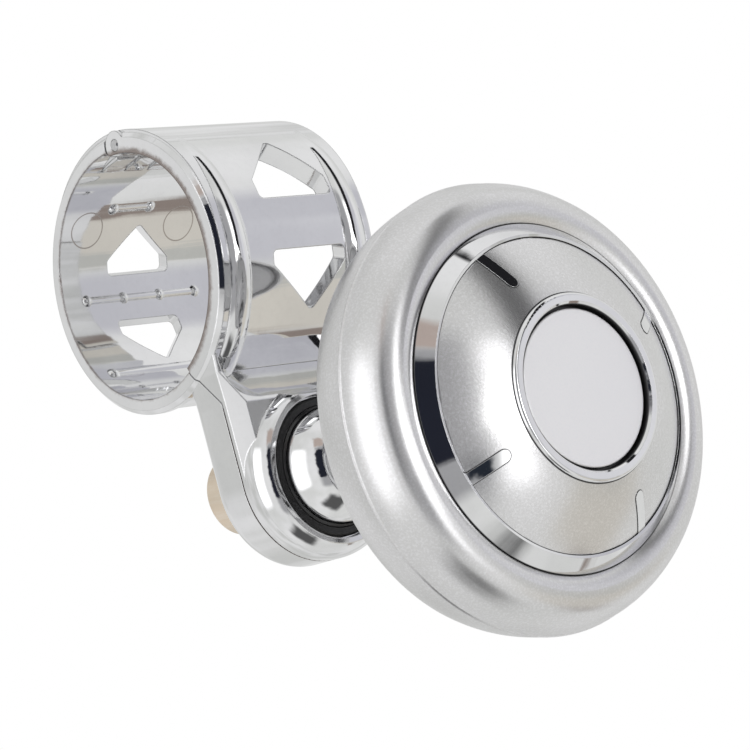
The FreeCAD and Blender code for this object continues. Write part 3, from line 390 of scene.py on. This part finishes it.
def makeDome():
    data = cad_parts["dome_plate"].data.copy()
    data.name = "domed_face"
    shape = bmesh.new()
    shape.from_mesh(data)
    bmesh.ops.remove_doubles(shape, verts=shape.verts, dist=dome["merge"])
    margin = dome["margin"]

    def reach(vert):
        return math.hypot(vert.co.x / mm - knobX, vert.co.y / mm)

    def onTop(vert):
        radius = reach(vert)
        high = vert.co.z / mm > domeHeight(radius, -dome["wall"]) + dome["skin"]
        return dome["inner"] - margin < radius < dome["outer"] + margin and high

    top = [face for face in shape.faces
           if all(onTop(vert) for vert in face.verts) and face.normal.z > dome["facing"]]
    edges = list({edge for face in top for edge in face.edges if not edge.is_boundary
                  and all(other in top for other in edge.link_faces)})
    bmesh.ops.subdivide_edges(shape, edges=edges, cuts=dome["cuts"], use_grid_fill=True)
    for vert in shape.verts:
        if dome["inner"] + margin < reach(vert) < dome["outer"] - margin and onTop(vert):
            vert.co.z = domeHeight(reach(vert)) * mm
    shape.to_mesh(data)
    shape.free()
    item = makePiece("domed_face", data, looks["dome_plate"])
    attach(item, "knob")
    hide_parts("dome_plate")
    print("dome", len(item.data.polygons), "faces")


makeDome()

# Trim band with a sloping top, in the groove round the dome.
band = {"inner": 22.8, "outer": 25.2, "bottom": 68.3, "groove": 68.7, "top": 70.8, "flat": 0.4,
        "bevel": 0.1, "steps": 224}


def makeBand():
    inner, outer = band["inner"], band["outer"]
    section = [(inner, band["bottom"]), (outer, band["bottom"]), (outer, band["groove"]),
               (inner + band["flat"], band["top"]), (inner, band["top"] - band["bevel"])]
    item = turnedRing("trim_band", section, looks["trim_ring"], band["steps"])
    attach(item, "knob")
    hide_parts("trim_ring")
    print("trim band", len(item.data.polygons), "faces")


# Round-ended tab that lies flush with the dome, along X from the knob axis.
def makeTab():
    reach, half, across = tabs["reach"], tabs["half"], tabs["across"]
    verts = []
    for i in range(tabs["steps"] + 1):
        share = i / tabs["steps"]
        along = reach + (dome["outer"] + tabs["overlap"] - reach) * share ** tabs["crowd"]
        wide = half
        if along < reach + half:
            wide = math.sqrt(max(half ** 2 - (reach + half - along) ** 2, tabs["tip"]))
        for j in range(across + 1):
            side = wide * (2.0 * j / across - 1.0)
            height = domeHeight(math.hypot(along, side), tabs["lift"])
            verts.append((along * mm, side * mm, height * mm))
        for side in (-wide, wide):
            height = domeHeight(math.hypot(along, side)) - tabs["deep"]
            verts.append((along * mm, side * mm, height * mm))
    row = across + 3
    faces = []
    for i in range(tabs["steps"]):
        a, b = i * row, (i + 1) * row
        for j in range(across):
            faces.append((a + j, a + j + 1, b + j + 1, b + j))
        faces.append((a + across + 1, a, b, b + across + 1))
        faces.append((a + across, a + across + 2, b + across + 2, b + across))
        faces.append((a + across + 2, a + across + 1, b + across + 1, b + across + 2))
    for a in (0, tabs["steps"] * row):
        faces.append(tuple(a + j for j in range(across + 1)) + (a + across + 2, a + across + 1))
    data = bpy.data.meshes.new("one_tab")
    data.from_pydata(verts, [], faces)
    return makePiece("one_tab", data, looks["trim_ring"])


# Copies of the tab, evenly round the knob axis.
def makeTabs():
    tab = makeTab()
    group, entry = openGroup("tabs_around", {
        "Tab": "Object", "Count": "Int", "Angle": "Float", "Finish": "Material"})
    source = add(group, "GeometryNodeObjectInfo", {"Object": entry["Tab"]})
    points = add(group, "GeometryNodeMeshLine", {
        "Count": entry["Count"], "Offset": (0.0, 0.0, 0.0), "Start Location": (knobX * mm, 0.0, 0.0)})
    index = group.nodes.new("GeometryNodeInputIndex")
    step = calc(group, "DIVIDE", 2.0 * math.pi, entry["Count"])
    turn = calc(group, "MULTIPLY_ADD", index.outputs[0], step, entry["Angle"])
    spin = add(group, "ShaderNodeCombineXYZ", {"Z": turn})
    copies = add(group, "GeometryNodeInstanceOnPoints", {
        "Points": points.outputs["Mesh"], "Instance": source.outputs["Geometry"],
        "Rotation": spin.outputs[0]})
    real = add(group, "GeometryNodeRealizeInstances", {0: copies.outputs[0]})
    closeGroup(group, real.outputs[0], entry["Finish"])
    item = bake("trim_tabs", group, {
        "Tab": tab, "Count": tabs["count"], "Angle": math.radians(tabs["angle"]),
        "Finish": looks["trim_ring"]})
    bpy.data.objects.remove(tab)
    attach(item, "knob")
    print("trim tabs", len(item.data.polygons), "faces")


makeBand()
makeTabs()

# Thread on the clamp screw, a triangle swept along a spiral.
thread = {"core": 3.1, "crest": 3.9, "pitch": 1.25, "low": 9.0, "turns": 10.4, "steps": 48, "share": 0.6667}


def makeThread():
    group, entry = openGroup("thread", {
        "Core": "Float", "Crest": "Float", "Pitch": "Float", "Turns": "Float", "Low": "Float",
        "Finish": "Material"})
    depth = calc(group, "SUBTRACT", entry["Crest"], entry["Core"])
    size = calc(group, "MULTIPLY", depth, thread["share"])
    reach = calc(group, "SUBTRACT", entry["Crest"], size)
    spiral = add(group, "GeometryNodeCurveSpiral", {
        "Resolution": thread["steps"], "Rotations": entry["Turns"], "Start Radius": reach,
        "End Radius": reach, "Height": calc(group, "MULTIPLY", entry["Turns"], entry["Pitch"])})
    upright = add(group, "GeometryNodeSetCurveNormal", {"Curve": spiral.outputs["Curve"]}, mode="Z_UP")
    profile = add(group, "GeometryNodeCurvePrimitiveCircle", {"Resolution": 3, "Radius": size})
    sweep = add(group, "GeometryNodeCurveToMesh", {
        "Curve": upright.outputs["Curve"], "Profile Curve": profile.outputs["Curve"], "Fill Caps": True})
    offset = add(group, "ShaderNodeCombineXYZ", {"X": knobX * mm, "Z": entry["Low"]})
    shift = add(group, "GeometryNodeTransform", {
        "Geometry": sweep.outputs["Mesh"], "Translation": offset.outputs[0]})
    closeGroup(group, shift.outputs["Geometry"], entry["Finish"])
    item = bake("screw_thread", group, {
        "Core": thread["core"] * mm, "Crest": thread["crest"] * mm, "Pitch": thread["pitch"] * mm,
        "Turns": thread["turns"], "Low": thread["low"] * mm, "Finish": looks["clamp_screw"]})
    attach(item, "screw")
    print("thread", len(item.data.polygons), "faces")


makeThread()

# Surroundings seen in the polished faces: bright panels, dark cards and tinted ones. Each has
# a direction, half sizes across and along the tall axis, a soft edge, a colour and a breakup.
# The tall axis is X unless it is given.
cards = [
    {"name": "lavender", "aim": (0.2, -0.62, 0.76), "across": 0.26, "high": 0.42, "soft": 0.14,
     "colour": (0.59, 0.59, 0.63), "ragged": 0.04},
    {"name": "pale", "aim": (0.06, -0.74, 0.67), "across": 0.1, "high": 0.2, "soft": 0.06,
     "colour": (0.77, 0.77, 0.8), "ragged": 0.0},
    {"name": "olive", "aim": (-0.55, -0.66, 0.5), "across": 0.34, "high": 0.3, "soft": 0.05,
     "colour": (0.66, 0.63, 0.57), "ragged": 0.1},
    {"name": "moss", "aim": (-0.35, -0.66, 0.66), "across": 0.3, "high": 0.09, "soft": 0.02,
     "colour": (0.53, 0.53, 0.5), "ragged": 0.25},
    {"name": "streak", "aim": (-0.75, -0.62, 0.2), "across": 0.2, "high": 0.05, "soft": 0.03,
     "colour": (0.28, 0.235, 0.21), "ragged": 0.12},
    {"name": "dim", "aim": (0.0, 0.56, 0.83), "across": 0.42, "high": 0.8, "soft": 0.12,
     "colour": (0.38, 0.38, 0.39), "ragged": 0.0},
    {"name": "overhead", "aim": (0.0, -0.02, 1.0), "across": 0.14, "high": 0.55, "soft": 0.08,
     "colour": (2.0, 2.0, 2.02), "ragged": 0.0},
    {"name": "left_box", "aim": (0.05, 0.996, -0.07), "across": 0.26, "high": 0.6, "soft": 0.13,
     "colour": (1.8, 1.8, 1.82), "ragged": 0.0},
    {"name": "stripe", "aim": (0.485, -0.32, 0.814), "tall": (0.835, -0.103, -0.538), "across": 0.155,
     "high": 1.1, "soft": 0.03, "colour": (0.015, 0.015, 0.017), "ragged": 0.05},
    {"name": "sitter", "aim": (0.1, 0.76, 0.64), "across": 0.13, "high": 0.52, "soft": 0.04,
     "colour": (0.018, 0.02, 0.03), "ragged": 0.2},
    {"name": "dusk", "aim": (-0.95, 0.2, 0.2), "tall": (0, 0, 1), "across": 0.26, "high": 0.26,
     "soft": 0.09, "colour": (0.1, 0.1, 0.1), "ragged": 0.05},
    {"name": "sleeve", "aim": (-0.36, 0.3, 0.88), "across": 0.11, "high": 0.08, "soft": 0.03,
     "colour": (0.02, 0.025, 0.035), "ragged": 0.08},
    {"name": "warm", "aim": (0.72, 0.54, 0.45), "across": 0.12, "high": 0.13, "soft": 0.04,
     "colour": (0.5, 0.42, 0.38), "ragged": 0.1},
]
room = {"low": (0.72, 0.725, 0.71), "high": (0.86, 0.86, 0.86), "backdrop": (1.0, 1.0, 1.0)}


def makeWorld():
    world = bpy.data.worlds.new("world")
    scene.world = world
    world.use_nodes = True
    tree = world.node_tree
    ray = tree.nodes.new("ShaderNodeTexCoord").outputs["Generated"]
    cloud = noise(tree, ray, 7.0, 5.0, 0.6)
    colour = blend(tree, between(tree, noise(tree, ray, 1.6, 2.0), 0.3, 0.7), room["low"], room["high"])
    for card in cards:
        aim = Vector(card["aim"]).normalized()
        tall = Vector(card.get("tall", (1, 0, 0)))
        tall = (tall - aim * tall.dot(aim)).normalized()
        depth = vector(tree, "DOT_PRODUCT", ray, tuple(aim))
        front = calc(tree, "MAXIMUM", depth, 0.001)
        shake = calc(tree, "MULTIPLY", calc(tree, "SUBTRACT", cloud, 0.5), 2.0 * card["ragged"])
        mask = calc(tree, "GREATER_THAN", depth, 0.05)
        for axis, half in ((tall, card["high"]), (aim.cross(tall), card["across"])):
            off = calc(tree, "DIVIDE", vector(tree, "DOT_PRODUCT", ray, tuple(axis)), front)
            off = calc(tree, "ADD", calc(tree, "ABSOLUTE", off), shake)
            inside = between(tree, off, half - card["soft"], half + card["soft"], 1.0, 0.0)
            mask = calc(tree, "MULTIPLY", mask, inside)
        colour = blend(tree, mask, colour, card["colour"])
    seen = tree.nodes.new("ShaderNodeLightPath").outputs["Is Camera Ray"]
    sky = tree.nodes["Background"]
    put(tree, sky.inputs["Color"], blend(tree, seen, colour, room["backdrop"]))
    sky.inputs["Strength"].default_value = 1.0


# Pale floor that looks white to the camera and pale grey in the chrome.
floorLook = {"radius": 0.45, "height": -0.12, "base": (0.85, 0.85, 0.85, 1), "rough": 0.8, "scale": 9.0,
             "low": (0.62, 0.625, 0.61), "high": (0.82, 0.82, 0.82)}


def makeFloor():
    bpy.ops.mesh.primitive_circle_add(vertices=64, radius=floorLook["radius"], fill_type="NGON",
                                      location=(0, 0, floorLook["height"]))
    floor = bpy.context.object
    floor.name = "floor"
    made = bpy.data.materials.new("pale_floor")
    made.use_nodes = True
    tree = made.node_tree
    shader = tree.nodes["Principled BSDF"]
    shader.inputs["Base Color"].default_value = floorLook["base"]
    shader.inputs["Roughness"].default_value = floorLook["rough"]
    path = tree.nodes.new("ShaderNodeLightPath").outputs
    cloud = noise(tree, objectPlace(tree), floorLook["scale"])
    grey = blend(tree, between(tree, cloud, 0.35, 0.65), floorLook["low"], floorLook["high"])
    glow = add(tree, "ShaderNodeEmission", {
        "Color": blend(tree, path["Is Camera Ray"], grey, room["backdrop"])})
    seen = calc(tree, "MAXIMUM", path["Is Camera Ray"], path["Is Glossy Ray"])
    mix = add(tree, "ShaderNodeMixShader", {0: seen, 1: shader.outputs[0], 2: glow.outputs[0]})
    put(tree, tree.nodes["Material Output"].inputs[0], mix.outputs[0])
    floor.data.materials.append(made)


# Soft lamp above the knob and the clamp.
key = {"at": (-0.04, -0.02, 0.7), "aim": (-0.03, 0, 0.03), "size": (0.22, 0.3), "power": 0.5}


def makeLamp():
    data = bpy.data.lights.new("key", "AREA")
    data.shape = "RECTANGLE"
    data.size, data.size_y = key["size"]
    data.energy = key["power"]
    item = bpy.data.objects.new("key", data)
    scene.collection.objects.link(item)
    item.location = key["at"]
    item.rotation_euler = (Vector(key["aim"]) - Vector(key["at"])).to_track_quat("-Z", "Y").to_euler()


makeWorld()
makeFloor()
makeLamp()
print("stage ready")
